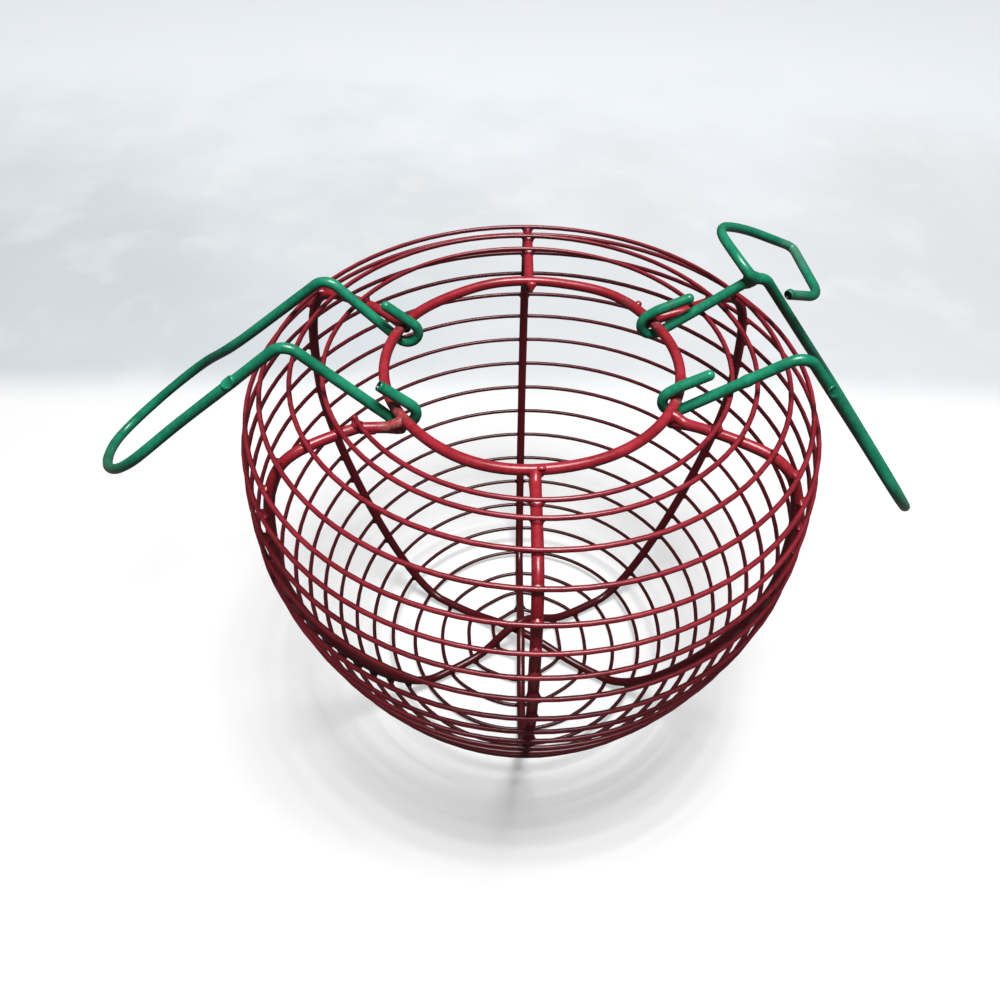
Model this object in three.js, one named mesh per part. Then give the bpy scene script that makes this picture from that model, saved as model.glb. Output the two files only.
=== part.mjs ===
// Apple-shaped basket of plastic-coated wire, in millimetres, +Z up, its front towards -Y.
// Eight bent wires: a rim ring, three U-shaped ribs that cross under the base, one thin
// wire wound round the ribs in a single spiral, two handles that hang by open hooks on the
// rim, and a leaf-shaped loop welded to the right handle.
import * as THREE from 'three';

// Wire diameters over the coating
const rimWire = 4.1;
const ribWire = 4.1;
const spiralWire = 1.9;
const handleWire = 4.1;
const leafWire = 3.9;

// Room left between wires that the coating joins, and round the rim inside a hook
const weldGap = 0.3;
const hookPlay = 0.4;

// Rim ring
const rimRadius = 56.4;

// Apple outline, followed by the spiral's centre line: lip, crest, belly, foot and dish.
// The lip starts just inside the rim. The belly's height is taken from the surface that the
// basket stands on, the crest's from the belly, and the lip's down from the crest.
const lipInset = 1.9;
const lipRadius = rimRadius - lipInset;
const lipDrop = 4.8;
const crestRadius = 79;
const shoulderHeight = 60.8;
const bellyRadius = 114.8;
const bellyHeight = 128.4;
const footRadius = 43.5;
const footBand = 10;
const dishHeight = 6.2;
// How far each curve of the outline runs on before it turns
const lipLead = 10.5;
const crestLead = 26;
const shoulderLead = 59;
const flankLead = 35;
const footLead = 29;
const dishLead = 15;

// Ribs' bearings in degrees counter-clockwise from +X. Each rib is one wire across the
// basket; the last stretch up to the rim swings aside, and where the ribs cross under the
// base they lie on one another, level by level
const frontBackRib = { bearing: -90, swing: 0, level: 1 };
const leftBackRib = { bearing: 150, swing: 1, level: 0 };
const rightBackRib = { bearing: 30, swing: 4.5, level: 2 };
const stackRadius = 26;

// Spiral: where it starts along the outline, and how far it moves on with each turn
const spiralStart = 18.4;
const spiralStub = 4;
const firstPitch = 7.3;
const shoulderPitch = 12.6;
const shoulderTurns = 6;
const wallPitch = 13.8;
const wallTurns = 14;
const ribsOnLastTurn = 1;
// The lowest turn is pressed flat by a tenth of its wire where it stands
const standingFlat = spiralWire / 10;

// Handles: open hook, leg up to the elbow, then a long grip with a swelling round end.
// Each handle has its own bearing, angle between its two hooks round the rim, slip of the
// hooks into the mouth and rise of its legs in degrees. A leg runs from the rim to its elbow
// and leans towards the back on the way. The grip drops below level and turns to the back,
// and has drifted to the back at its tip.
const hookEnd = 15.5;
const elbowBend = 7;
const gripStraight = 62;
const gripHalfWidth = 30.5;
const gripBend = 30;
const gripSwellStart = 74;
const gripSwell = 36.6;
const gripSwellLead = 24;
const gripEndWidth = 17.2;
const gripLength = 136.8;
const leftHandle = {
  bearing: 182.8,
  hookSpread: 51.1,
  hookSlip: 2.7,
  legRise: 41,
  backLeg: 33.1,
  frontLeg: 45.1,
  backLean: 10,
  frontLean: 6.6,
  gripDrop: 37,
  gripTurn: -7.7,
  gripDrift: 44.7,
};
const rightHandle = {
  bearing: 3.7,
  hookSpread: 49.2,
  hookSlip: 0.2,
  legRise: 33.9,
  backLeg: 45.1,
  frontLeg: 47.7,
  backLean: 2,
  frontLean: -4.1,
  gripDrop: 52.7,
  gripTurn: 9.9,
  gripDrift: -2.8,
};

// Leaf loop, in its own plane: distances along and across it from the elbow, and below it
const leafStart = [-4.4, -1.9, 2.5];
const leafHeel = [-5.5, -10];
const leafLobe = [13.5, -28];
const leafShoulder = [39.3, -21.1];
const leafTip = [67.8, -1.6];
const leafNearLobe = [26.4, 22.7];
const leafEnd = [-2.8, 12.8];
const leafHeelBend = 12;
const leafLobeBend = 22;
const leafSideBend = 71;
const leafTipBend = 2.5;
const leafNearLobeBend = 24.5;
const leafLean = { outward: 0.505, back: 0.792, up: -0.344 };
const leafRoll = { outward: -0.477, back: -0.076, up: -0.876 };

// Facets: sides of a wire's section, degrees of a bend and length of a curve for one step
const thickSides = 8;
const thinSides = 6;
const stepsPerTurn = 24;
const bendStep = 22.5;
const ribSteps = 34;
const rimSteps = 72;
const gripEndSteps = 9;

const red = { color: 0xa31628, roughness: 0.35, metalness: 0 };
const green = { color: 0x0f7a52, roughness: 0.32, metalness: 0 };

const up = new THREE.Vector3(0, 0, 1);
const radians = THREE.MathUtils.degToRad;

function bearingVector(degrees) {
  return new THREE.Vector3(Math.cos(radians(degrees)), Math.sin(radians(degrees)), 0);
}

// Centre line through chosen stations, so that a straight run takes a single step
class BentPath extends THREE.Curve {
  constructor(stations) {
    super();
    this.stations = stations;
  }

  getPoint(t) {
    const place = t * (this.stations.length - 1);
    const index = Math.min(Math.floor(place), this.stations.length - 2);
    return this.stations[index].clone().lerp(this.stations[index + 1], place - index);
  }

  getTangent(t) {
    const last = this.stations.length - 1;
    const index = Math.round(t * last);
    const here = this.stations[index];
    const arriving = here.clone().sub(this.stations[Math.max(index - 1, 0)]).normalize();
    const leaving = this.stations[Math.min(index + 1, last)].clone().sub(here).normalize();
    return arriving.add(leaving).normalize();
  }

  getUtoTmapping(u) {
    return u;
  }
}

// Round wire of the given diameter along the stations, cut square at both ends
function wireAlong(stations, diameter) {
  const section = new THREE.Shape();
  for (let side = 0; side < thickSides; side += 1) {
    const angle = (side / thickSides) * 2 * Math.PI;
    const corner = [Math.cos(angle) * diameter / 2, Math.sin(angle) * diameter / 2];
    if (side === 0) section.moveTo(...corner);
    else section.lineTo(...corner);
  }
  return new THREE.ExtrudeGeometry(section, {
    steps: stations.length - 1,
    extrudePath: new BentPath(stations),
    bevelEnabled: false,
  });
}

// Stations of a wire bent at each inner corner round its own radius
function bend(corners, radii) {
  const stations = [corners[0]];
  for (let i = 1; i < corners.length - 1; i += 1) {
    const arriving = corners[i].clone().sub(corners[i - 1]).normalize();
    const leaving = corners[i + 1].clone().sub(corners[i]).normalize();
    const turn = arriving.angleTo(leaving);
    const radius = radii[i - 1];
    const tangent = radius * Math.tan(turn / 2);
    const start = corners[i].clone().addScaledVector(arriving, -tangent);
    const inward = leaving.clone().addScaledVector(arriving, -Math.cos(turn)).normalize();
    const centre = start.clone().addScaledVector(inward, radius);
    const steps = Math.max(1, Math.ceil(turn / radians(bendStep)));
    for (let step = 0; step <= steps; step += 1) {
      const angle = (turn * step) / steps;
      const station = centre.clone()
        .addScaledVector(inward, -radius * Math.cos(angle))
        .addScaledVector(arriving, radius * Math.sin(angle));
      if (station.distanceTo(stations.at(-1)) > weldGap) stations.push(station);
    }
  }
  stations.push(corners.at(-1));
  return stations;
}

// The outline in (radius, height), drawn from the lip over the crest, down round the
// belly, across the flat band that the basket stands on and up into the dish
function appleOutline() {
  const standing = spiralWire / 2 - standingFlat;
  const crestHeight = bellyHeight + shoulderHeight;
  const outline = new THREE.Path();
  outline.moveTo(lipRadius, crestHeight - lipDrop);
  outline.quadraticCurveTo(lipRadius + lipLead, crestHeight, crestRadius, crestHeight);
  outline.bezierCurveTo(
    crestRadius + crestLead, crestHeight,
    bellyRadius, bellyHeight + shoulderLead,
    bellyRadius, bellyHeight,
  );
  outline.bezierCurveTo(
    bellyRadius, bellyHeight - flankLead,
    footRadius + footBand / 2 + footLead, standing,
    footRadius + footBand / 2, standing,
  );
  outline.lineTo(footRadius - footBand / 2, standing);
  outline.bezierCurveTo(
    footRadius - footBand / 2 - dishLead, standing,
    dishLead, dishHeight,
    0, dishHeight,
  );
  return outline;
}

const outline = appleOutline();
const outlineLength = outline.getLength();

// Place and outward direction on the outline, a share of the way from lip to centre
function onOutline(share) {
  const tangent = outline.getTangent(share);
  return { place: outline.getPoint(share), outward: new THREE.Vector2(-tangent.y, tangent.x) };
}

// One arm of a rib in (radius, height), running inside the spiral from the lip down to
// the axis. Near the axis the ribs lie one on another, each a level above the last.
function ribArm(level) {
  const inset = (spiralWire + ribWire) / 2 + weldGap;
  const arm = [];
  for (let step = 0; step <= ribSteps; step += 1) {
    const { place, outward } = onOutline(step / ribSteps);
    const point = place.clone().addScaledVector(outward, -inset);
    if (step === ribSteps) point.x = 0;
    const rise = point.x < stackRadius ? (1 + Math.cos(Math.PI * point.x / stackRadius)) / 2 : 0;
    point.y += level * (ribWire + weldGap) * rise;
    arm.push(point);
  }
  return arm;
}

// A rib is one wire: up one side of the basket, under the base and up the other side
function ribGeometry({ bearing, swing, level }) {
  const arm = ribArm(level);
  const mouth = onOutline(spiralStart / outlineLength).place;
  const armAt = (side) => arm.map((point) => {
    const inMouth = point.y > bellyHeight ? Math.max(mouth.x - point.x, 0) : 0;
    const aside = swing * inMouth / (mouth.x - rimRadius);
    return bearingVector(bearing + side + aside).multiplyScalar(point.x).setZ(point.y);
  });
  return wireAlong([...armAt(0), ...armAt(180).reverse().slice(1)], ribWire);
}

// The rim ring rests on the ends of the ribs
function rimHeight() {
  const arm = ribArm(0);
  const reach = (rimWire + ribWire) / 2 + weldGap;
  const after = arm.findIndex((point) => point.x > rimRadius);
  const slope = arm[after].clone().sub(arm[after - 1]);
  const share = (rimRadius - arm[after - 1].x) / slope.x;
  return arm[after - 1].y + slope.y * share + reach * slope.length() / slope.x;
}

function rimGeometry() {
  const ring = new THREE.TorusGeometry(rimRadius, rimWire / 2, thickSides, rimSteps);
  return ring.translate(0, 0, rimHeight());
}

// Distance along the outline after a number of turns: close first, then two even pitches
function spiralTravel(turns) {
  const onShoulder = THREE.MathUtils.clamp(turns - 1, 0, shoulderTurns);
  const onWall = Math.max(turns - 1 - shoulderTurns, 0);
  const first = Math.min(turns, 1) * firstPitch;
  return spiralStart + first + onShoulder * shoulderPitch + onWall * wallPitch;
}

// Bearing after a number of turns from the left front rib, with every sixth of a turn
// landing on a rib
function spiralBearing(turns) {
  const ribs = [
    rightBackRib.bearing - 180,
    frontBackRib.bearing,
    leftBackRib.bearing - 180,
    rightBackRib.bearing,
    frontBackRib.bearing + 180,
    leftBackRib.bearing,
  ];
  const place = turns * ribs.length;
  const index = Math.floor(place);
  const whole = Math.floor(index / ribs.length) * 360;
  const from = ribs[((index % ribs.length) + ribs.length) % ribs.length];
  const next = index + 1;
  const to = ribs[((next % ribs.length) + ribs.length) % ribs.length]
    + (Math.floor(next / ribs.length) * 360 - whole);
  return whole + from + (to - from) * (place - index);
}

// Stations of the spiral with the outward direction of the outline at each
function spiralStations() {
  const turns = 1 + shoulderTurns + wallTurns + ribsOnLastTurn / 6;
  const startRadius = onOutline(spiralStart / outlineLength).place.x;
  const places = [-spiralStub / (2 * Math.PI * startRadius)];
  for (let step = 0; step <= Math.round(turns * stepsPerTurn); step += 1) {
    places.push(step / stepsPerTurn);
  }
  return places.map((turn) => {
    const { place, outward } = onOutline(spiralTravel(turn) / outlineLength);
    const direction = bearingVector(spiralBearing(turn));
    return {
      centre: direction.clone().multiplyScalar(place.x).setZ(place.y),
      outward: direction.clone().multiplyScalar(outward.x).setZ(outward.y),
    };
  });
}

// One unbroken tube, with a side of its section facing outward so that it stands flat
function spiralGeometry() {
  const stations = spiralStations();
  const positions = [];
  const faces = [];
  stations.forEach(({ centre, outward }, index) => {
    const before = stations[Math.max(index - 1, 0)].centre;
    const after = stations[Math.min(index + 1, stations.length - 1)].centre;
    const along = after.clone().sub(before).normalize();
    const across = new THREE.Vector3().crossVectors(along, outward).normalize();
    const out = new THREE.Vector3().crossVectors(across, along);
    for (let side = 0; side < thinSides; side += 1) {
      const angle = ((side + 0.5) / thinSides) * 2 * Math.PI;
      const corner = centre.clone()
        .addScaledVector(out, Math.cos(angle) * spiralWire / 2)
        .addScaledVector(across, Math.sin(angle) * spiralWire / 2);
      positions.push(corner.x, corner.y, Math.max(corner.z, 0));
    }
  });
  for (let ring = 0; ring < stations.length - 1; ring += 1) {
    for (let side = 0; side < thinSides; side += 1) {
      const here = ring * thinSides + side;
      const beside = ring * thinSides + (side + 1) % thinSides;
      faces.push(here, beside, here + thinSides, beside, beside + thinSides, here + thinSides);
    }
  }
  const end = (stations.length - 1) * thinSides;
  for (let side = 1; side < thinSides - 1; side += 1) {
    faces.push(0, side + 1, side, end, end + side, end + side + 1);
  }
  const geometry = new THREE.BufferGeometry();
  geometry.setAttribute('position', new THREE.Float32BufferAttribute(positions, 3));
  geometry.setIndex(faces);
  reportLeastGap(positions);
  return geometry;
}

// Least distance between points of the spiral that lie over half a turn apart
function reportLeastGap(positions) {
  const halfTurn = (stepsPerTurn / 2) * thinSides * 3;
  let least = Infinity;
  for (let i = 0; i < positions.length; i += 3) {
    for (let j = i + halfTurn; j < positions.length; j += 3) {
      const dx = positions[i] - positions[j];
      const dy = positions[i + 1] - positions[j + 1];
      const dz = positions[i + 2] - positions[j + 2];
      least = Math.min(least, dx * dx + dy * dy + dz * dz);
    }
  }
  console.log(`least gap of the spiral to itself: ${Math.sqrt(least).toFixed(2)} mm`);
}

// Axes of a handle at rest: the middle of the line through its two rim crossings, the
// way out from it, the way to the back of the basket, and up
function hingeOf(handle) {
  const outward = bearingVector(handle.bearing);
  const back = new THREE.Vector3().crossVectors(up, outward)
    .multiplyScalar(Math.sign(outward.x));
  const halfSpread = radians(handle.hookSpread / 2);
  const middle = outward.clone().multiplyScalar(rimRadius * Math.cos(halfSpread))
    .setZ(rimHeight());
  return { middle, outward, back, half: rimRadius * Math.sin(halfSpread) };
}

function handleShape(handle) {
  const { middle, outward, back, half } = hingeOf(handle);
  const place = (out, toBack, high) => middle.clone()
    .addScaledVector(outward, out).addScaledVector(back, toBack).addScaledVector(up, high);

  // A slot this wide lets the hook turn right round on the slanting rim
  const slot = (rimWire + handleWire + 2 * hookPlay) / Math.cos(radians(handle.hookSpread / 2));
  const rise = radians(handle.legRise);
  // Point of a hook's plane: along the leg from the rim, and above it
  const onHook = (toBack, along, over) => place(
    along * Math.cos(rise) - over * Math.sin(rise),
    toBack,
    along * Math.sin(rise) + over * Math.cos(rise),
  );
  const elbowAt = (toBack, leg, lean) => onHook(toBack + lean, leg, -slot / 2);
  const backElbow = elbowAt(half, handle.backLeg, handle.backLean);
  const frontElbow = elbowAt(-half, handle.frontLeg, handle.frontLean);

  // The grip's plane runs through both elbows and down along the grip
  const elbowMiddle = backElbow.clone().lerp(frontElbow, 0.5);
  const elbowLine = backElbow.clone().sub(frontElbow);
  const elbowHalf = elbowLine.length() / 2;
  elbowLine.normalize();
  const drop = radians(handle.gripDrop);
  const turn = radians(handle.gripTurn);
  const gripLine = new THREE.Vector3()
    .addScaledVector(outward, Math.cos(drop) * Math.cos(turn))
    .addScaledVector(back, Math.cos(drop) * Math.sin(turn))
    .addScaledVector(up, -Math.sin(drop));
  const onGrip = (along, toBack) => elbowMiddle.clone()
    .addScaledVector(gripLine, along)
    .addScaledVector(elbowLine, toBack + handle.gripDrift * (along / gripLength) ** 2);

  // From a hook's free end over the rim, round under it, up the leg and down to the tip
  const arm = (side, elbow) => {
    const corners = [
      onHook(side * half, hookEnd - handle.hookSlip, slot / 2),
      onHook(side * half, -handle.hookSlip - slot / 2, slot / 2),
      onHook(side * half, -handle.hookSlip - slot / 2, -slot / 2),
      elbow,
      onGrip(gripStraight, side * gripHalfWidth),
      onGrip(gripSwellStart, side * gripSwell),
    ];
    const swelling = corners.at(-1).clone().sub(corners.at(-2)).setLength(gripSwellLead);
    const end = new THREE.CubicBezierCurve3(
      corners.at(-1),
      corners.at(-1).clone().add(swelling),
      onGrip(gripLength, side * gripEndWidth),
      onGrip(gripLength, 0),
    );
    const radii = [slot / 2, slot / 2, elbowBend, gripBend];
    return [...bend(corners, radii), ...end.getPoints(gripEndSteps).slice(1)];
  };
  const stations = [...arm(1, backElbow), ...arm(-1, frontElbow).reverse().slice(1)];
  return { stations, elbow: backElbow, axes: { outward, back } };
}

function handleGeometry(handle) {
  return wireAlong(handleShape(handle).stations, handleWire);
}

// The leaf lies in a leaning plane that starts on the back leg, just short of the elbow
function leafGeometry(handle) {
  const { elbow, axes } = handleShape(handle);
  const lean = ({ outward, back, up: high }) => new THREE.Vector3()
    .addScaledVector(axes.outward, outward)
    .addScaledVector(axes.back, back)
    .addScaledVector(up, high);
  const along = lean(leafLean).normalize();
  const face = lean(leafRoll);
  face.addScaledVector(along, -face.dot(along)).normalize();
  const across = new THREE.Vector3().crossVectors(face, along);
  const onLeaf = ([length, width, below = 0]) => elbow.clone()
    .addScaledVector(along, length).addScaledVector(across, width).addScaledVector(face, below);
  const corners = [leafStart, leafHeel, leafLobe, leafShoulder, leafTip, leafNearLobe, leafEnd];
  const radii = [leafHeelBend, leafLobeBend, leafSideBend, leafTipBend, leafNearLobeBend];
  return wireAlong(bend(corners.map(onLeaf), radii), leafWire);
}

const basket = new THREE.Group();

function addPiece(name, geometry, coating) {
  const piece = new THREE.Mesh(geometry, new THREE.MeshStandardMaterial(coating));
  piece.name = name;
  basket.add(piece);
}

addPiece('rim_ring', rimGeometry(), red);
addPiece('left_back_right_front_rib', ribGeometry(leftBackRib), red);
addPiece('front_back_rib', ribGeometry(frontBackRib), red);
addPiece('left_front_right_back_rib', ribGeometry(rightBackRib), red);
addPiece('spiral_wire', spiralGeometry(), red);
addPiece('left_handle', handleGeometry(leftHandle), green);
addPiece('right_handle', handleGeometry(rightHandle), green);
addPiece('leaf_loop', leafGeometry(rightHandle), green);

// The origin lies on the ground under the middle of the whole
const middle = new THREE.Box3().setFromObject(basket, true).getCenter(new THREE.Vector3());
basket.children.forEach((piece) => piece.geometry.translate(-middle.x, -middle.y, 0));
console.log(`middle of the whole from the basket's axis: ${middle.x.toFixed(3)}, ${middle.y.toFixed(3)}`);

export default basket;
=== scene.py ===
# Apple-shaped basket of wire dipped in red and green plastic. Sizes are in millimetres, and
# each mesh is made in metres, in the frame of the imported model.
import math
import random

import bpy
from mathutils import Matrix, Vector


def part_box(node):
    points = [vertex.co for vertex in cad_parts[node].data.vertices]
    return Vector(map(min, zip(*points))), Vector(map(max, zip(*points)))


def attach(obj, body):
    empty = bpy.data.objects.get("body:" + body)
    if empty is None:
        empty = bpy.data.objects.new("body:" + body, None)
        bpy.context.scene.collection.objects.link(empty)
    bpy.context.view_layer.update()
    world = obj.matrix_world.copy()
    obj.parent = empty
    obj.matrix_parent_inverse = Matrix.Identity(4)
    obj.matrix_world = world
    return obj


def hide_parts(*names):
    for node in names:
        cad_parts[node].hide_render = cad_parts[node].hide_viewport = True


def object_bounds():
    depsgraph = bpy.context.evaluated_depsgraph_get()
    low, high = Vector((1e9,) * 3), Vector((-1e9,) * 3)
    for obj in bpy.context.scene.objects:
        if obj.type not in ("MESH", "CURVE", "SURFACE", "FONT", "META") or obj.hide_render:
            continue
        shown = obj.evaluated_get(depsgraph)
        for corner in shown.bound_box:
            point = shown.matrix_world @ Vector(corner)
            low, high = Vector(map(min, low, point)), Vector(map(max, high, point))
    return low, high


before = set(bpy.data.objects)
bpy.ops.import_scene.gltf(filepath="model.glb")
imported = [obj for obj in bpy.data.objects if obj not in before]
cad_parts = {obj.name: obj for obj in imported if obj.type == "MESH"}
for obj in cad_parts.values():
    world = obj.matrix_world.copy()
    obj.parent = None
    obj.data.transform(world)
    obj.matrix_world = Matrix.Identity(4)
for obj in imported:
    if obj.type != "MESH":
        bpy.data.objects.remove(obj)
packed_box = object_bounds()
mm = 0.001


# Table, light and camera: a sheet of white paper under the basket, a wide soft lamp over
# it and a pale room all round. The camera looks down from the front.
class Pattern:
    """A value that varies over a surface, so that shader sums read as plain expressions."""

    def __init__(self, tree, socket=None):
        self.tree = tree
        self.socket = socket

    def node(self, kind, settings=None, inputs=None, output=0):
        """Any other node: its settings, and numbers or patterns for its sockets."""
        made = self.tree.nodes.new(kind)
        for name, value in (settings or {}).items():
            setattr(made, name, value)
        for name, value in (inputs or {}).items():
            if isinstance(value, Pattern):
                self.tree.links.new(value.socket, made.inputs[name])
            else:
                made.inputs[name].default_value = value
        return Pattern(self.tree, made.outputs[output])

    def sum_of(self, operation, first, second):
        return self.node("ShaderNodeMath", {"operation": operation}, {0: first, 1: second})

    def __add__(self, other):
        return self.sum_of("ADD", self, other)

    __radd__ = __add__

    def __sub__(self, other):
        return self.sum_of("SUBTRACT", self, other)

    def __rsub__(self, other):
        return self.sum_of("SUBTRACT", other, self)

    def __mul__(self, other):
        return self.sum_of("MULTIPLY", self, other)

    __rmul__ = __mul__

    def either(self, other):
        """The larger of two shares."""
        return self.sum_of("MAXIMUM", self, other)

    def noise(self, place, size, detail=2.0):
        """Soft blotches of about the given size in millimetres, from 0 to 1."""
        return self.node(
            "ShaderNodeTexNoise", None,
            {"Vector": place, "Scale": 1 / (size * mm), "Detail": detail},
        )

    def ramp(self, value, low, high):
        """0 below low, 1 above high and smooth between."""
        return self.node(
            "ShaderNodeMapRange", {"interpolation_type": "SMOOTHSTEP"},
            {"Value": value, "From Min": low, "From Max": high},
        )

    def vectors(self, operation, first, second=(0, 0, 0), output="Vector"):
        """Vector Math on two directions or places."""
        return self.node(
            "ShaderNodeVectorMath", {"operation": operation}, {0: first, 1: second}, output,
        )

    def blend(self, share, first, second):
        """From one colour to another by a share."""
        made = self.tree.nodes.new("ShaderNodeMix")
        made.data_type = "RGBA"
        for name, value in (("Factor", share), ("A", first), ("B", second)):
            named = (socket for socket in made.inputs if socket.name == name)
            socket = next(s for s in named if (s.type == "RGBA") == (name != "Factor"))
            if isinstance(value, Pattern):
                self.tree.links.new(value.socket, socket)
            else:
                socket.default_value = value
        return Pattern(self.tree, next(s for s in made.outputs if s.type == "RGBA"))

    def far_from(self, place, spot):
        """Distance in metres from a spot given in millimetres."""
        return self.vectors("DISTANCE", place, tuple(spot * mm), "Value")


def new_material(name):
    """An empty material with its shader, a hand that draws its patterns, and the place on it."""
    material = bpy.data.materials.new(name)
    material.use_nodes = True
    tree = material.node_tree
    draw = Pattern(tree)
    place = draw.node("ShaderNodeTexCoord", output="Object")
    return material, tree.nodes["Principled BSDF"], draw, place


paper, paper_shader, draw, place = new_material("white_paper")
side = draw.node("ShaderNodeSeparateXYZ", None, {0: place}, "X")
depth = draw.node("ShaderNodeSeparateXYZ", None, {0: place}, "Y")
soft = draw.noise(place, 150, 4.0) - 0.5
near_white, far_left, far_right = (1, 1, 1, 1), (0.68, 0.73, 0.76, 1), (0.79, 0.81, 0.83, 1)
farthest, fleck, black = (0.92, 0.96, 1.0, 1), (0.97, 0.98, 0.99, 1), (0, 0, 0, 1)
# White as far as a soft seam behind the basket, then pale grey, greyer on the left: painted shade
# standing in for a backdrop rising behind the basket, with a few whiter clouds
seam_start, seam_end = 0.185, 0.235
far = draw.blend(draw.ramp(side + soft * 0.5, -0.36, 0.15), far_left, far_right)
far = draw.blend(draw.ramp(depth + soft * 0.5, 0.28, 0.8), far, farthest)
shown = draw.blend(draw.ramp(depth + soft * 0.03, seam_start, seam_end), near_white, far)
shown = draw.blend(draw.ramp(draw.noise(place, 60, 5.0), 0.5, 0.72) * 0.3, shown, fleck)
# Seen by the camera it is part lamplight and part glow, with less glow where the basket's
# shadow falls in front. To the rest of the scene it is dark, so that the wires stay plain
looked_at = draw.node("ShaderNodeLightPath", output="Is Camera Ray")
clear = draw.ramp(depth, -0.09, -0.02).either(1 - draw.ramp(depth, -0.15, -0.1))
lamplight = 0.8 - clear * 0.25
glow = 0.18 + clear * 0.32 + draw.ramp(depth, 0.22, 0.8) * 0.15
unseen_paper = (0.12, 0.12, 0.12, 1)
for socket, unseen, part in (
    ("Base Color", unseen_paper, lamplight), ("Emission Color", black, glow),
):
    seen_colour = draw.blend(part, black, shown)
    colour = draw.blend(looked_at, unseen, seen_colour)
    paper.node_tree.links.new(colour.socket, paper_shader.inputs[socket])
paper_shader.inputs["Emission Strength"].default_value = 1.0
paper_shader.inputs["Roughness"].default_value = 0.95
paper_shader.inputs["Specular IOR Level"].default_value = 0.1

bpy.ops.object.select_all(action="DESELECT")
bpy.ops.mesh.primitive_plane_add(size=9)
table = bpy.context.object
table.name = "paper_sheet"
table.data.materials.append(paper)

world = bpy.context.scene.world or bpy.data.worlds.new("room")
bpy.context.scene.world = world
world.use_nodes = True
room = world.node_tree.nodes["Background"]
room.inputs["Color"].default_value = (0.95, 0.97, 1.0, 1)
room_light, room_seen = 0.12, 0.95
looked_at = Pattern(world.node_tree).node("ShaderNodeLightPath", output="Is Camera Ray")
strength = room_light + looked_at * (room_seen - room_light)
world.node_tree.links.new(strength.socket, room.inputs["Strength"])

lamp_place, lamp_aim = Vector((0.08, -0.12, 1.1)), Vector((0, 0, 0.1))
toward = (lamp_place - lamp_aim).to_track_quat("Z", "Y")
bpy.ops.object.light_add(type="AREA", location=lamp_place, rotation=toward.to_euler())
lamp = bpy.context.object
lamp.data.shape = "RECTANGLE"
lamp.data.size = 0.36
lamp.data.size_y = 0.3
lamp.data.energy = 13

camera_place = (-0.006586, -0.275537, 0.404505)
pan, tilt, roll = (math.radians(angle) for angle in (-0.275, 43.11, 0.699))
view = (
    Matrix.Rotation(pan, 3, "Z") @ Matrix.Rotation(tilt, 3, "X") @ Matrix.Rotation(roll, 3, "Z")
)
bpy.ops.object.camera_add(location=camera_place, rotation=view.to_euler())
camera = bpy.context.object
camera.data.lens = 32.72
camera.data.sensor_width = 36
bpy.context.scene.camera = camera
bpy.context.scene.view_settings.view_transform = "Standard"


# Rim ring: thick steel wire bent round the mouth, its ends butted and welded at the back
# right, then dipped in red plastic. The handles hook over it.
def draw_wire(name, line, thickness, closed=False, sides=16):
    """A coated wire along stations of (place, girth), where a girth of 1 is the full wire."""
    bpy.ops.object.select_all(action="DESELECT")
    bpy.ops.curve.primitive_nurbs_path_add()
    wire = bpy.context.object
    wire.name = name
    curve = wire.data
    curve.splines.clear()
    spline = curve.splines.new("POLY")
    spline.points.add(len(line) - 1)
    for point, (place, girth) in zip(spline.points, line):
        point.co = (*(place * mm), 1)
        point.radius = girth
    spline.use_cyclic_u = closed
    curve.bevel_depth = thickness / 2 * mm
    curve.bevel_resolution = (sides - 4) // 2
    curve.use_fill_caps = not closed
    bpy.ops.object.convert(target="MESH")
    bpy.ops.object.shade_smooth()
    return wire


def coat_web(name, rings, sides=12, pinch=0.0, inner=1.0, curve=0.0, around=0.0):
    """Coating run into a corner between wires: a closed stack of rings (height, wide, long).

    Pinch draws the rings in between their four arms, and inner shortens the arm on -Y. The
    web can follow a wire of a curve radius, or be wrapped around a wire with its heights
    above that radius.
    """
    bpy.ops.object.select_all(action="DESELECT")
    bpy.ops.mesh.primitive_circle_add(vertices=sides, radius=mm, fill_type="NGON")
    web = bpy.context.object
    web.name = name
    bpy.ops.object.mode_set(mode="EDIT")
    bpy.ops.mesh.select_all(action="SELECT")
    bpy.ops.transform.resize(value=(rings[0][1], rings[0][2], 1))
    bpy.ops.transform.translate(value=(0, 0, rings[0][0] * mm))
    for (low, wide, long), (high, wider, longer) in zip(rings, rings[1:]):
        rise = {"value": (0, 0, (high - low) * mm)}
        bpy.ops.mesh.extrude_region_move(TRANSFORM_OT_translate=rise)
        bpy.ops.transform.resize(value=(wider / wide, longer / long, 1))
    bpy.ops.mesh.select_all(action="SELECT")
    bpy.ops.mesh.normals_make_consistent(inside=False)
    bpy.ops.object.mode_set(mode="OBJECT")
    for corner in web.data.vertices:
        _, wide, long = min(rings, key=lambda ring: abs(ring[0] * mm - corner.co.z))
        angle = math.atan2(corner.co.y / long, corner.co.x / wide)
        corner.co.xy *= 1 - pinch * math.sin(2 * angle) ** 2
        corner.co.y *= inner if corner.co.y < 0 else 1
        if curve:
            corner.co.y -= corner.co.x ** 2 / (2 * curve * mm)
        if around:
            reach, angle = around * mm + corner.co.z, corner.co.y / (around * mm)
            corner.co.y, corner.co.z = reach * math.sin(angle), reach * math.cos(angle)
    bpy.ops.object.shade_smooth()
    return web


def laid(middle, along, out, size=(1, 1, 1)):
    """Turns a web so that its X runs along a wire and its Z points out, at a middle in mm."""
    wide = along.normalized()
    high = (out - wide * out.dot(wide)).normalized()
    turn = Matrix((wide * size[0], high.cross(wide) * size[1], high * size[2])).transposed()
    return Matrix.Translation(middle * mm) @ turn.to_4x4()


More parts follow.
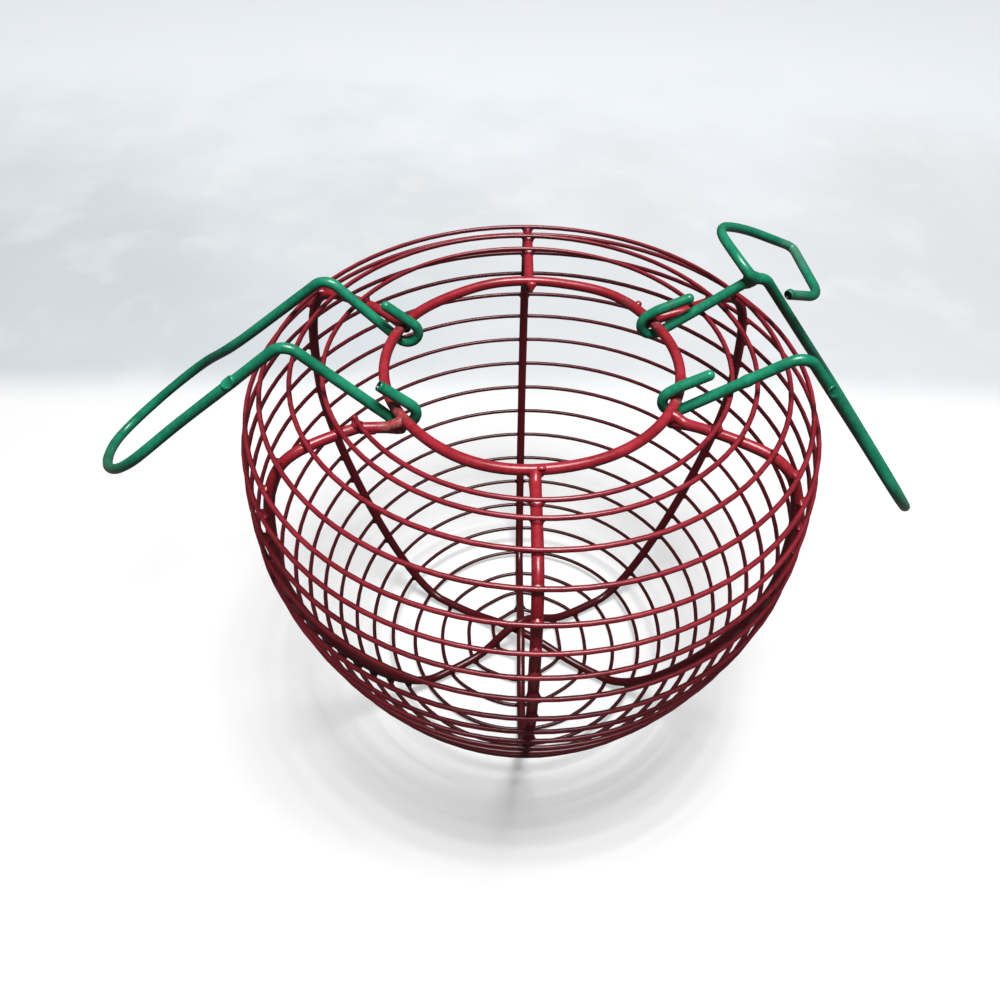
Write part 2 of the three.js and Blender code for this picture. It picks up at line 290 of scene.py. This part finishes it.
def lay_copies(pattern_piece, places):
    """A copy of one small piece at each place, each with its own mesh."""
    copies = []
    for matrix in places:
        copy = pattern_piece.copy()
        copy.data = pattern_piece.data.copy()
        copy.data.transform(matrix)
        bpy.context.collection.objects.link(copy)
        copies.append(copy)
    bpy.data.objects.remove(pattern_piece)
    return copies


def join(name, pieces):
    """One piece made of several that are coated together."""
    bpy.ops.object.select_all(action="DESELECT")
    for piece in pieces:
        piece.select_set(True)
    bpy.context.view_layer.objects.active = pieces[0]
    bpy.ops.object.join()
    pieces[0].name = name
    return pieces[0]


def finish_piece(piece, material, body, node=None):
    """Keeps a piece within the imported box, dresses it, and lets it ride on its body."""
    low, high = packed_box
    for corner in piece.data.vertices:
        corner.co = [min(max(at, least), most) for at, least, most in zip(corner.co, low, high)]
    piece.data.materials.clear()
    piece.data.materials.append(material)
    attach(piece, body)
    if node:
        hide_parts(node)


def dip_coat(name, shaded, deep, lit, heart, grime=(), dark=(), worn=(), lit_shift_and_gloss=0.0):
    """Glossy dipped plastic: uneven colour, a skin like fine orange peel, dust and rubs.

    The sides of a wire that face the heart get the shaded colour as painted shade, and low
    down the painted shade is darker still; the last argument turns more sides to the lit colour
    and makes the coat glossier. Grime is brown and patchy, dark spots are painted near-black
    at cut ends, and worn spots have gone pale and dull. Each of these is a spot and its reach.
    """
    material, shader, draw, place = new_material(name)
    links = material.node_tree.links
    cloud = draw.noise(place, 14)
    mottle = draw.noise(place, 1.8, 4.0)
    colour = draw.blend(draw.ramp(cloud * 0.55 + mottle * 0.45, 0.36, 0.64), deep, lit)
    # Painted shade: dark where a wire looks inwards, and darker low down, most of all on the
    # outside
    outward = draw.vectors("NORMALIZE", draw.vectors("SUBTRACT", place, tuple(heart * mm)))
    side = draw.node("ShaderNodeTexCoord", output="Normal")
    facing = draw.vectors("DOT_PRODUCT", outward, side, "Value")
    height = draw.node("ShaderNodeSeparateXYZ", None, {0: place}, "Z")
    low_down = 1 - draw.ramp(height, 15 * mm, 120 * mm)
    # Share of the lit colour: sides that look away from the heart keep it, the rest take the
    # painted shade
    outside = draw.ramp(facing + lit_shift_and_gloss + (cloud - 0.5) * 0.35, -0.4, 0.42)
    colour = draw.blend(outside * (1 - low_down * 0.6), shaded, colour)
    # Near-black painted shade low down, strongest on sides that look out
    deepest_shade = [part * 0.1 for part in shaded[:3]] + [1]
    low_painted_shade = low_down * (0.5 + draw.ramp(facing, -0.2, 0.3) * 0.45)
    colour = draw.blend(low_painted_shade, colour, deepest_shade)
    dust = draw.ramp(draw.noise(place, 0.8, 3.0), 0.64, 0.76)
    dull = [0.55 * part + 0.03 for part in lit[:3]] + [1]
    colour = draw.blend(dust * 0.3, colour, dull)
    rough = 0.26 + cloud * 0.08 + dust * 0.15
    gone_pale = (0.10, 0.27, 0.20, 1)
    for spot, reach in worn:
        away = draw.far_from(place, spot) + (mottle - 0.5) * (8 * mm)
        pale = 1 - draw.ramp(away, reach * 0.5 * mm, reach * mm)
        colour = draw.blend(pale * (0.35 + mottle * 0.5), colour, gone_pale)
        rough = rough + pale * 0.08
    if grime:
        rubbed = None
        for spot, reach in grime:
            away = draw.far_from(place, spot) + (mottle - 0.5) * (6 * mm)
            mark = 1 - draw.ramp(away, reach * 0.4 * mm, reach * mm)
            rubbed = rubbed.either(mark) if rubbed else mark
        dark_brown, pale_brown = (0.05, 0.025, 0.02, 1), (0.24, 0.17, 0.13, 1)
        stain = draw.blend(draw.ramp(mottle, 0.42, 0.58), dark_brown, pale_brown)
        patches = draw.ramp(draw.noise(place, 1.6, 3.0), 0.4, 0.62)
        colour = draw.blend(rubbed * patches * 0.65, colour, stain)
        rough = rough + rubbed * 0.25
    # Cut ends are painted near-black
    near_black = (0.012, 0.012, 0.012, 1)
    for spot, reach in dark:
        dark_end = 1 - draw.ramp(draw.far_from(place, spot), reach * 0.8 * mm, reach * mm)
        colour = draw.blend(dark_end, colour, near_black)
    links.new(colour.socket, shader.inputs["Base Color"])
    links.new(rough.socket, shader.inputs["Roughness"])
    skin = draw.noise(place, 0.55, 3.0) * 0.45 + draw.noise(place, 2.6) * 0.55
    dents = draw.node(
        "ShaderNodeBump", None, {"Strength": 0.25, "Distance": 0.3 * mm, "Height": skin},
    )
    links.new(dents.socket, shader.inputs["Normal"])
    shader.inputs["Specular IOR Level"].default_value = 0.45
    shader.inputs["Coat Weight"].default_value = 0.15 + lit_shift_and_gloss * 0.6
    shader.inputs["Coat Roughness"].default_value = 0.3
    return material


rim_low, rim_high = (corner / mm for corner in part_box("rim_ring"))
mouth = (rim_low + rim_high) / 2
rim_wire = rim_high.z - rim_low.z
rim_radius = (rim_high.x - rim_low.x - rim_wire) / 2
up = Vector((0, 0, 1))


def bearing(degrees):
    """The level direction that many degrees round from +X."""
    return Vector((math.cos(math.radians(degrees)), math.sin(math.radians(degrees)), 0))


def uneven(place, seed):
    """Slight thick and thin stretches of the dipped coat along a wire."""
    wave = 0.0
    for step in range(3):
        pull = Vector((
            math.sin(seed + step * 1.7), math.cos(seed * 2.3 + step),
            math.sin(seed * 0.7 + step * 2.9),
        ))
        wave += math.sin(place.dot(pull) * (0.09 + 0.07 * step) + seed * (step + 1))
    return 1 + 0.008 * wave


def on_rim(degrees):
    """Centre of the rim there. Away from the hooks it was bent a little out of round."""
    aside = 0.0
    for middle, reach, amount in ((53, 24, 1.5), (251, 36, 1.3), (126, 24, -1.0)):
        off = abs((degrees - middle + 180) % 360 - 180)
        if off < reach:
            aside += amount * (1 + math.cos(math.pi * off / reach)) / 2
    return mouth + bearing(degrees) * (rim_radius + aside)


# Red: shaded is painted shade for sides that face into the basket; deep and lit are the two ends of
# the coat's mottle
red_shaded = (0.14, 0.005, 0.010, 1)
red_deep = (0.26, 0.010, 0.018, 1)
red_lit = (0.38, 0.021, 0.035, 1)
# Wire sides that face this point inside the basket get the painted shade
heart = Vector((mouth.x, mouth.y, 118))
butt, back, front = 41, 89, 272
rim_line = []
for step in range(240):
    angle = step * 1.5
    swollen = 0.05 * math.exp(-((angle - butt - 3) / 2.2) ** 2)
    rim_line.append((on_rim(angle), uneven(on_rim(angle), 1) * (1 + swollen)))
rim_parts = [draw_wire("rim_wire", rim_line, rim_wire, closed=True)]
# A bare wire end stands out at the butt, a drip hangs inwards at the back, and the coat is
# lumpy over the front weld
nub = coat_web("rim_nub", [
    (-1, 1.6, 1.5), (0.6, 1.45, 1.4), (1.5, 1.3, 1.3), (2.0, 0.9, 0.9), (2.15, 0.3, 0.3),
])
nub_at = on_rim(butt) + bearing(butt) * 1.1 + up * 0.6
nub_out = bearing(butt) * 0.75 + bearing(butt + 90) * 0.35 + up * 0.55
rim_parts += lay_copies(nub, [laid(nub_at, bearing(butt + 90), nub_out)])
drip = coat_web("rim_drip", [
    (-1.2, 3.1, 1.7), (0.3, 2.3, 1.5), (1.2, 1.5, 1.2), (2.2, 0.9, 0.9), (3, 0.55, 0.6),
    (3.3, 0.2, 0.2),
])
drip_at = on_rim(back) - bearing(back) * 1.5 - up * 0.9
drip_down = up * -0.75 - bearing(back) * 0.65
rim_parts += lay_copies(drip, [laid(drip_at, bearing(back + 90), drip_down)])
lump = coat_web("rim_lump", [
    (-0.8, 2.5, 1.9), (-0.1, 2.1, 1.6), (0.3, 1.4, 1.1), (0.42, 0.5, 0.45),
])
lump_at = on_rim(front) + up * 1.7
rim_parts += lay_copies(lump, [laid(lump_at, bearing(front + 90), up - bearing(front) * 0.2)])
hook_bearings = (157.2, 208.3, 28.3, -20.9)
rim_grime = [(on_rim(angle), 7) for angle in hook_bearings]
rim_grime += [(on_rim(214), 4.5), (on_rim(butt + 4), 4)]
nub_end = nub_at + nub_out.normalized() * 2.4
# On the rim the painted shade is only the deep red
rim_coat = dip_coat(
    "red_coat_rim", red_deep, red_deep, red_lit, heart, rim_grime, [(nub_end, 0.9)],
)
finish_piece(join("rim_wire", rim_parts), rim_coat, "basket", "rim_ring")


# Ribs: three thick wires, each bent like a U from the rim down the side, under the base and
# up again. They cross one on another under the middle, and their ends are welded to the rim.
spiral_wire = 1.9
spiral_start = 18.4
rib_wire = 4.1
weld_gap = 0.3
belly_height = 128.4
cap_steps = 6
axis = Vector((mouth.x, mouth.y, 0))


def bezier(corners, steps):
    """Points of a curve on its control points, by repeated halving between them."""
    points = []
    for step in range(steps + 1):
        share = step / steps
        level = [Vector(corner) for corner in corners]
        while len(level) > 1:
            level = [a.lerp(b, share) for a, b in zip(level, level[1:])]
        points.append(level[0])
    return points


def apple_outline():
    """The winding's centre line in (radius, height), from the lip down to the axis."""
    lip, lip_drop, crest, shoulder = 54.5, 4.8, 79, 60.8
    belly, foot, band, dish = 114.8, 43.5, 10, 6.2
    lip_lead, crest_lead, shoulder_lead, flank_lead, foot_lead, dish_lead = 10.5, 26, 59, 35, 29, 15
    standing = spiral_wire * 0.4
    top = belly_height + shoulder
    outer, inner = foot + band / 2, foot - band / 2
    runs = [
        [(lip, top - lip_drop), (lip + lip_lead, top), (crest, top)],
        [
            (crest, top), (crest + crest_lead, top),
            (belly, belly_height + shoulder_lead), (belly, belly_height),
        ],
        [
            (belly, belly_height), (belly, belly_height - flank_lead),
            (outer + foot_lead, standing), (outer, standing),
        ],
        [(outer, standing), (inner, standing)],
        [(inner, standing), (inner - dish_lead, standing), (dish_lead, dish), (0, dish)],
    ]
    points = []
    for run in runs:
        points += bezier(run, 240)[1 if points else 0:]
    return points


outline = apple_outline()
travelled = [0.0]
for before, after in zip(outline, outline[1:]):
    travelled.append(travelled[-1] + (after - before).length)


def on_outline(distance):
    """Place and outward direction on the outline, at a distance along it from the lip."""
    low, high = 0, len(outline) - 2
    while low < high:
        middle = (low + high + 1) // 2
        if travelled[middle] <= distance:
            low = middle
        else:
            high = middle - 1
    share = (distance - travelled[low]) / (travelled[low + 1] - travelled[low])
    way = (outline[low + 1] - outline[low]).normalized()
    return outline[low].lerp(outline[low + 1], share), Vector((-way.y, way.x))


def stacked(radius):
    """How far a rib has risen to its level in the stack under the middle, from 0 to 1."""
    reach = 26
    return (1 + math.cos(math.pi * radius / reach)) / 2 if radius < reach else 0


def rib_arm(level, steps=170):
    """One arm of a rib in (radius, height), just inside the winding."""
    inset = (spiral_wire + rib_wire) / 2 + weld_gap
    arm = []
    for step in range(steps + 1):
        place, outward = on_outline(travelled[-1] * step / steps)
        point = place - outward * inset
        if step == steps:
            point.x = 0
        point.y += level * (rib_wire + weld_gap) * stacked(point.x)
        arm.append(point)
    return arm


def rib_stations(facing, swing, level):
    """The whole rib in space: its last stretch up to the rim swings a little aside."""
    arm = rib_arm(level)
    start = on_outline(spiral_start)[0].x
    sides = []
    for turned in (0, 180):
        side = []
        for point in arm:
            inside = max(start - point.x, 0) if point.y > belly_height else 0
            angle = facing + turned + swing * inside / (start - rim_radius)
            side.append(axis + bearing(angle) * point.x + up * point.y)
        sides.append(side)
    return sides[0] + sides[1][-2::-1]


def round_ends(places, thickness, seed, lumps=()):
    """Stations with girths, closed at both ends by a round cap of coating.

    Lumps are (place, reach, extra girth) where the coat is thicker or thinner.
    """
    radius = thickness / 2
    caps = []
    for end, inner in ((places[0], places[1:]), (places[-1], places[-2::-1])):
        ahead = next(place for place in inner if (place - end).length > radius)
        way = (ahead - end).normalized()
        cap = []
        for step in range(cap_steps):
            angle = math.radians(8 + step * 82 / (cap_steps - 1))
            cap.append((end + way * radius * (1 - math.cos(angle)), math.sin(angle)))
        caps.append(cap)
    body = []
    for place in places:
        if min((place - places[0]).length, (place - places[-1]).length) > radius * 1.05:
            extra = sum(
                amount * math.exp(-((place - spot).length / reach) ** 2)
                for spot, reach, amount in lumps
            )
            body.append((place, uneven(place, seed) + extra))
    return caps[0] + body + caps[1][::-1]


# Bearing of the first end, how far both ends swing aside, and the level in the stack
ribs = {
    "left_back_right_front_rib": (150, 1, 0),
    "front_back_rib": (-90, 0, 1),
    "left_front_right_back_rib": (30, 4.5, 2),
}
left_front = 211
rim_weld = coat_web("rim_weld", [
    (-3.0, 2.4, 4.0), (-2.3, 3.0, 4.2), (-1.7, 3.5, 4.2), (-1.1, 3.8, 4.0),
    (-0.6, 3.9, 3.6), (-0.1, 3.8, 3.1), (0.4, 3.4, 2.5), (0.9, 2.8, 1.9), (1.2, 2.0, 1.2),
], 20, pinch=0.24, inner=0.4, curve=rim_radius)
larger_welds = {330: 1.12}
rib_coat = dip_coat(
    "red_coat_ribs", red_shaded, red_deep, red_lit, heart,
    [(on_rim(214) + bearing(214) * 3, 9), (axis + bearing(210) * 74 + up * 183, 7)],
)
rib_lines, weld_places, risers = {}, [], []
for seed, (node, (facing, swing, level)) in enumerate(ribs.items(), 2):
    rib_lines[node] = rib_stations(facing, swing, level)
    lumps = []
    for turned in (0, 180):
        # Each rib's end rises into the side of the rim, where the weld has filled the corner
        aside = facing + turned + swing
        side = rib_lines[node][::-1] if turned else rib_lines[node]
        met = next(
            index for index, place in enumerate(side)
            if (place - axis).xy.length > rim_radius + 8
        )
        start = on_rim(aside) - up * 0.5
        path = [start, start + bearing(aside) * 4.5, side[met] * 2 - side[met + 3], side[met]]
        riser_line = [(place, 1.02) for place in bezier(path, 14)]
        risers.append(draw_wire("riser", riser_line, rib_wire))
        size = larger_welds.get(facing + turned, 1.0)
        weld_places.append(laid(on_rim(aside), bearing(aside - 90), up, (size, size, 1)))
        lumps.append((on_rim(aside) + bearing(aside) * 2 - up * 4, 5, 0.1 * size))
    if node == "left_front_right_back_rib":
        # Squeezed thin and then thick with run coating, next to its left front end
        for radius, height, amount in (
            (62, 181, -0.1), (66, 182, 0.1), (71, 183, 0.14), (76, 183.5, 0.08),
        ):
            spot = axis + bearing(left_front + 0.5) * radius + up * height
            lumps.append((spot, 2.2, amount))
    rib = draw_wire(node + "_wire", round_ends(rib_lines[node], rib_wire, seed, lumps), rib_wire)
    finish_piece(rib, rib_coat, "basket", node)
rim_welds = join("rim_welds", risers + lay_copies(rim_weld, weld_places))
finish_piece(rim_welds, rib_coat, "basket")


# Winding: one long thin wire that runs round the outside of the ribs, from the left front
# near the mouth over the belly to the middle of the base, spot-welded at every rib.
first_pitch, shoulder_pitch, shoulder_turns, wall_pitch, wall_turns = 7.3, 12.6, 6, 13.8, 14
all_turns = 1 + shoulder_turns + wall_turns + 1 / 6
first_bearing = 210
drawn_in = 0.13
base_top = 60


def on_spiral(turns):
    """Centre of the winding and its outward direction after a number of turns."""
    on_shoulder = min(max(turns - 1, 0), shoulder_turns)
    on_wall = max(turns - 1 - shoulder_turns, 0)
    distance = spiral_start + min(turns, 1) * first_pitch
    distance += on_shoulder * shoulder_pitch + on_wall * wall_pitch
    place, outward = on_outline(distance)
    way = bearing(first_bearing + turns * 360)
    # The tightest turns on the base run straighter between the ribs
    between = (1 - math.cos(turns * 12 * math.pi)) / 2
    straighter = max(0, 1 - place.x / 52) if place.y < base_top else 0
    radius = place.x * (1 - 0.11 * straighter * between)
    out = way * outward.x + up * outward.y
    return axis + way * radius + up * place.y - out * drawn_in, out


turn_steps = 84
stub_length = 2.4
stub_turns = stub_length / (2 * math.pi * on_outline(spiral_start)[0].x)
stub = on_spiral(-stub_turns)[0]
first, first_out = on_spiral(0)
spiral_places = [stub] + [
    on_spiral(step / turn_steps)[0] for step in range(round(all_turns * turn_steps) + 1)
]
spiral_line = round_ends(spiral_places, spiral_wire, 6)
winding = draw_wire("winding_wire", spiral_line, spiral_wire, sides=10)
web_depth = 3.3
crossing = coat_web("crossing", [
    (-web_depth, 1.9, 2.7), (-2.5, 2.1, 2.7), (-1.9, 2.3, 2.5), (-1.4, 2.6, 2.15),
    (-1.0, 2.95, 1.8), (-0.6, 3.2, 1.35), (-0.1, 3.2, 0.9),
], pinch=0.28)
dice = random.Random(5)
web_places = []
for step in range(round(all_turns * 6) + 1):
    centre, out = on_spiral(step / 6)
    ahead, behind = on_spiral(step / 6 + 0.01)[0], on_spiral(step / 6 - 0.01)[0]
    level = (2, 1, 0)[step % 3]
    risen = stacked((centre - axis).xy.length) if centre.z < base_top else 0
    deeper = 1 + level * (rib_wire + weld_gap) * risen / web_depth
    size = dice.uniform(0.8, 1.2)
    stretch = (size, size * dice.uniform(0.9, 1.15), deeper)
    web_places.append(laid(centre, ahead - behind, out, stretch))
web_places[0] = laid(first, on_spiral(0.01)[0] - stub, first_out, (1.15, 1.3, 1.05))
crossings = lay_copies(crossing, web_places)
run = coat_web("run", [
    (-1.4, 2.4, 1.5), (-0.2, 2.0, 1.3), (0.5, 1.3, 0.95), (0.95, 0.7, 0.6), (1.1, 0.2, 0.2),
])
run_places = []
run_rib = rib_lines["left_front_right_back_rib"][::-1]
run_down = bearing(left_front - 90) * 0.2 - up
for radius, size in ((66, 1.25), (70, 1.0), (88, 0.8)):
    hang = next(place for place in run_rib if (place - axis).xy.length > radius)
    run_places.append(laid(hang - up * 1.7, bearing(left_front), run_down, (size, size, size)))
runs = lay_copies(run, run_places)
knob = coat_web("knob", [
    (-1.6, 1.3, 1.3), (-0.4, 1.5, 1.4), (0.5, 1.3, 1.2), (1.1, 0.9, 0.8), (1.3, 0.3, 0.3),
])
knob_place = laid(stub - first_out * 0.4, first - stub, up + bearing(120) * 0.5)
knobs = lay_copies(knob, [knob_place])
# Winding: painted shade for sides that face the heart, then the two ends of its mottle
winding_coat = dip_coat(
    "red_coat_winding", (0.11, 0.005, 0.010, 1), (0.20, 0.009, 0.017, 1),
    (0.30, 0.017, 0.030, 1), heart, [(axis + bearing(left_front) * 69 + up * 180, 5)],
)
finish_piece(winding, winding_coat, "basket", "spiral_wire")
webs = join("crossing_webs", crossings + runs + knobs)
finish_piece(webs, winding_coat, "basket")


# Handles: each is one thick wire, hooked over the rim at both ends, rising to an elbow and
# running down in a long loop to grip. It is dipped in green and swings on the rim.
handle_wire = 4.1
hook_play = 0.4
station_spacing = 1.2


def bend(corners, radii, steps=10):
    """Places along a wire bent at each inner corner round its own radius."""
    places = [corners[0]]
    for before, corner, after, radius in zip(corners, corners[1:], corners[2:], radii):
        arriving = (corner - before).normalized()
        leaving = (after - corner).normalized()
        turn = arriving.angle(leaving)
        start = corner - arriving * radius * math.tan(turn / 2)
        inward = (leaving - arriving * math.cos(turn)).normalized()
        for step in range(steps + 1):
            angle = turn * step / steps
            aside, along = 1 - math.cos(angle), math.sin(angle)
            places.append(start + inward * radius * aside + arriving * radius * along)
    places.append(corners[-1])
    return places


def even(places, spacing):
    """The same line with stations no further apart than the spacing."""
    line = [places[0]]
    for place in places[1:]:
        run = (place - line[-1]).length
        if run < 0.05:
            continue
        start, count = line[-1], max(1, round(run / spacing))
        line += [start.lerp(place, step / count) for step in range(1, count + 1)]
    return line


def handle_shape(
    facing, spread, slip, rise, back_leg, front_leg, back_lean, front_lean, drop, turn, drift,
    prongs, pinched,
):
    """Places along a handle from its back hook to its front hook, and points used later.

    Angles are in degrees: where the handle faces, how far apart its hooks sit on the rim, how
    steeply the legs rise, and how the grip drops and turns. Prongs are the lengths of the
    hooks' free ends, back and front, and pinched is how far each is closed in.
    """
    outward = bearing(facing)
    back = up.cross(outward) * math.copysign(1, outward.x)
    half_angle = math.radians(spread / 2)
    half = rim_radius * math.sin(half_angle)
    middle = mouth + outward * rim_radius * math.cos(half_angle)
    slot = (rim_wire + handle_wire + 2 * hook_play) / math.cos(half_angle)
    rise, drop, turn = (math.radians(angle) for angle in (rise, drop, turn))
    along_leg = outward * math.cos(rise) + up * math.sin(rise)
    over_leg = up * math.cos(rise) - outward * math.sin(rise)

    def on_hook(to_back, along, over):
        return middle + back * to_back + along_leg * along + over_leg * over

    back_elbow = on_hook(half + back_lean, back_leg, -slot / 2)
    front_elbow = on_hook(-half + front_lean, front_leg, -slot / 2)
    elbow_middle = (back_elbow + front_elbow) / 2
    elbow_line = (back_elbow - front_elbow).normalized()
    grip_level = outward * math.cos(turn) + back * math.sin(turn)
    grip_line = grip_level * math.cos(drop) - up * math.sin(drop)
    straight, half_width, swell_start, swell, swell_lead = 62, 30.5, 74, 36.6, 24
    end_width, length = 17.2, 136.8

    def on_grip(along, to_back):
        drifted = to_back + drift * (along / length) ** 2
        return elbow_middle + grip_line * along + elbow_line * drifted

    arms = []
    prong_start, elbow_bend, grip_bend = 4, 7, 30
    hook_bend = slot / 2
    for side, elbow, prong, closed in (
        (1, back_elbow, prongs[0], pinched[0]), (-1, front_elbow, prongs[1], pinched[1]),
    ):
        corners = [
            on_hook(side * half, prong - slip, slot / 2 - closed),
            on_hook(side * half, prong_start, slot / 2),
            on_hook(side * half, -slip - slot / 2, slot / 2),
            on_hook(side * half, -slip - slot / 2, -slot / 2),
            elbow,
            on_grip(straight, side * half_width),
            on_grip(swell_start, side * swell),
        ]
        swelling = (corners[-1] - corners[-2]).normalized() * swell_lead
        end = bezier([
            corners[-1], corners[-1] + swelling, on_grip(length, side * end_width),
            on_grip(length, 0),
        ], 40)
        arms.append(bend(corners, [9, hook_bend, hook_bend, elbow_bend, grip_bend]) + end[1:])
    places = even(arms[0] + arms[1][-2::-1], station_spacing)
    # The wire was bowed by hand where the grip widens, with no sharp bend
    bows = [on_grip(straight, half_width), on_grip(straight, -half_width)]
    bow_reach, passes = 19, 110

    def softened(place):
        return 0.5 * max(math.exp(-((place - bow).length / bow_reach) ** 2) for bow in bows)

    for _ in range(passes):
        places = [places[0]] + [
            here.lerp((before + after) / 2, softened(here))
            for before, here, after in zip(places, places[1:], places[2:])
        ] + [places[-1]]
    return {
        "places": places, "outward": outward, "back": back, "hook_way": along_leg,
        "back_elbow": back_elbow, "front_elbow": front_elbow,
        "front_grip": on_grip(straight, -half_width),
        "front_hook": on_hook(-half, 0, -slot / 2), "back_hook": on_hook(half, 0, -slot / 2),
    }


# Green: shaded is painted shade on the undersides; deep and lit are the two ends of the mottle
green_shaded = (0.0006, 0.055, 0.028, 1)
green_deep = (0.004, 0.18, 0.092, 1)
green_lit = (0.013, 0.28, 0.148, 1)
# A point far below, so that sides facing down get painted shade and sides facing up the lit colour
below = Vector((0, 0, -3000))
left = handle_shape(
    facing=182.8, spread=51.1, slip=2.7, rise=41, back_leg=33.1, front_leg=45.1,
    back_lean=10, front_lean=6.6, drop=37, turn=-7.7, drift=44.7,
    prongs=(15.5, 15.5), pinched=(0, 0),
)
right = handle_shape(
    facing=3.7, spread=49.2, slip=0.2, rise=33.9, back_leg=45.1, front_leg=47.7,
    back_lean=2, front_lean=-4.1, drop=52.7, turn=9.9, drift=-2.8,
    prongs=(19, 17), pinched=(2.6, 1.7),
)
# A raised scar on the left grip, and a chipped ring and a blob of coating on the right handle
scar_way = (left["front_grip"] - left["front_elbow"]).normalized()
scar = left["front_elbow"] + scar_way * 26.9
chip_way = (right["front_grip"] - right["front_elbow"]).normalized()
chip = right["front_elbow"] + chip_way * 21
blob = right["front_hook"].lerp(right["front_elbow"], 0.53)
left_lumps = [(scar, 3, 0.05), (left["front_hook"] + left["hook_way"] * 6, 3, 0.05)]
right_lumps = [
    (blob, 1.3, 0.14), (blob + chip_way * 2, 4, 0.03), (right["front_elbow"], 5, 0.03),
    (right["back_elbow"], 6, 0.12),
]
chip_rings = [
    (-0.3, 3.1, 2.2), (0.1, 3.0, 2.1), (0.5, 2.8, 1.95), (0.53, 2.5, 1.7), (0.12, 2.1, 1.4),
    (0.08, 0.3, 0.3),
]
scar_rings = [
    (-0.3, 3.2, 2.7), (0.1, 3.1, 2.6), (0.5, 2.85, 2.3), (0.52, 2.5, 2.0), (0.15, 2.0, 1.6),
    (0.1, 0.3, 0.3),
]
# Where a wire was cut off square, a hollow in the coat's end is painted near-black
cut_rings = [
    (-1.5, 2.03, 2.03), (0.0, 2.06, 2.06), (0.3, 1.95, 1.95), (0.4, 1.7, 1.7), (0.1, 1.5, 1.5),
    (-0.9, 1.35, 1.35), (-0.95, 0.2, 0.2),
]
dark_end_reach = 1.95
for seed, (node, shape, lumps, mark, rings, spot, way, outside) in enumerate((
    ("left_handle", left, left_lumps, "scar_top", scar_rings, scar, scar_way, (0.2, -0.4, 0.85)),
    ("right_handle", right, right_lumps, "chip", chip_rings, chip, chip_way, (-0.25, -0.66, 0.7)),
), 7):
    line = round_ends(shape["places"], handle_wire, seed, lumps)
    dark = []
    if node == "left_handle":
        line = line[:-cap_steps]
        cut_way = (line[-1][0] - line[-2][0]).normalized()
        cut = line[-1][0] + cut_way
        dark = [(cut - cut_way * 0.2, dark_end_reach)]
    parts = [draw_wire(node + "_wire", line, handle_wire)]
    ring = coat_web(mark, rings, 16, around=handle_wire / 2)
    parts += lay_copies(ring, [laid(spot, way, Vector(outside))])
    if node == "left_handle":
        cut_end = coat_web("cut_end", cut_rings, 16)
        parts += lay_copies(cut_end, [laid(cut, left["back"], cut_way)])
    coat = dip_coat(
        "green_coat_" + node, green_shaded, green_deep, green_lit, below,
        grime=[(shape["places"][8], 2.4)], dark=dark, lit_shift_and_gloss=0.25,
    )
    finish_piece(join(node + "_wire", parts), coat, node, node)


# Leaf: a shorter wire bent into the outline of a leaf and welded to the right handle at its
# back elbow, so that the handle swings it. Its free end is cut off behind the grip.
leaf_wire = 3.9


def leaf_places(shape):
    """Places along the leaf, in its own leaning plane through the elbow."""
    lean, roll = (0.505, 0.792, -0.344), (-0.477, -0.076, -0.876)
    along, face = (
        shape["outward"] * parts[0] + shape["back"] * parts[1] + up * parts[2]
        for parts in (lean, roll)
    )
    along.normalize()
    face = (face - along * face.dot(along)).normalized()
    across = face.cross(along)
    corners = [
        (-4.4, -1.9, 2.5), (-5.5, -10, 0), (13.5, -28, 0), (39.3, -21.1, 0),
        (67.8, -1.6, 0), (26.4, 22.7, 0), (-2.8, 12.8, 0),
    ]
    corners = [shape["back_elbow"] + along * a + across * b + face * c for a, b, c in corners]
    tip = corners[4]
    return even(bend(corners, [12, 22, 71, 2.5, 24.5]), station_spacing), tip


leaf_line, leaf_tip = leaf_places(right)
leaf_end = leaf_line[-1]
leg_point = min(right["places"], key=lambda place: (place - leaf_line[0]).length)
leaf_line = [leg_point, leg_point.lerp(leaf_line[0], 0.5)] + leaf_line
leaf_lumps = [
    (leg_point, 3.5, 0.28), (leg_point + (leaf_line[8] - leg_point) * 0.5, 3, 0.1),
    (leaf_tip, 3, 0.07), (leaf_end, 1.6, 0.1),
]
leaf_stations = round_ends(leaf_line, leaf_wire, 9, leaf_lumps)[:-cap_steps]
leaf_cut = leaf_stations[-1][0]
leaf_way = (leaf_cut - leaf_stations[-2][0]).normalized()
leaf_weld = coat_web("leaf_weld", [
    (-1.8, 4.4, 2.1), (-0.6, 4.4, 2.5), (0.6, 3.9, 2.7), (1.8, 3.2, 2.65), (3.0, 2.6, 2.45),
    (4.2, 2.1, 2.1), (5.2, 1.7, 1.7),
])
leg_way = (right["back_elbow"] - right["back_hook"]).normalized()
leaf_end_place = laid(leaf_cut + leaf_way, up, leaf_way, (0.95, 0.95, 1))
parts = [draw_wire("leaf_wire", leaf_stations, leaf_wire)]
parts += lay_copies(leaf_weld, [laid(leg_point, leg_way, leaf_line[4] - leg_point)])
parts += lay_copies(coat_web("leaf_cut", cut_rings, 16), [leaf_end_place])
leaf = join("leaf_wire", parts)
worn_spots = [(leaf_tip.lerp(leaf_end, share), 9) for share in (0.12, 0.3, 0.5, 0.7, 0.88)]
leaf_coat = dip_coat(
    "green_coat_leaf", green_shaded, green_deep, green_lit, below,
    dark=[(leaf_cut + leaf_way * 0.8, dark_end_reach)], worn=worn_spots, lit_shift_and_gloss=0.25,
)
finish_piece(leaf, leaf_coat, "right_handle", "leaf_loop")
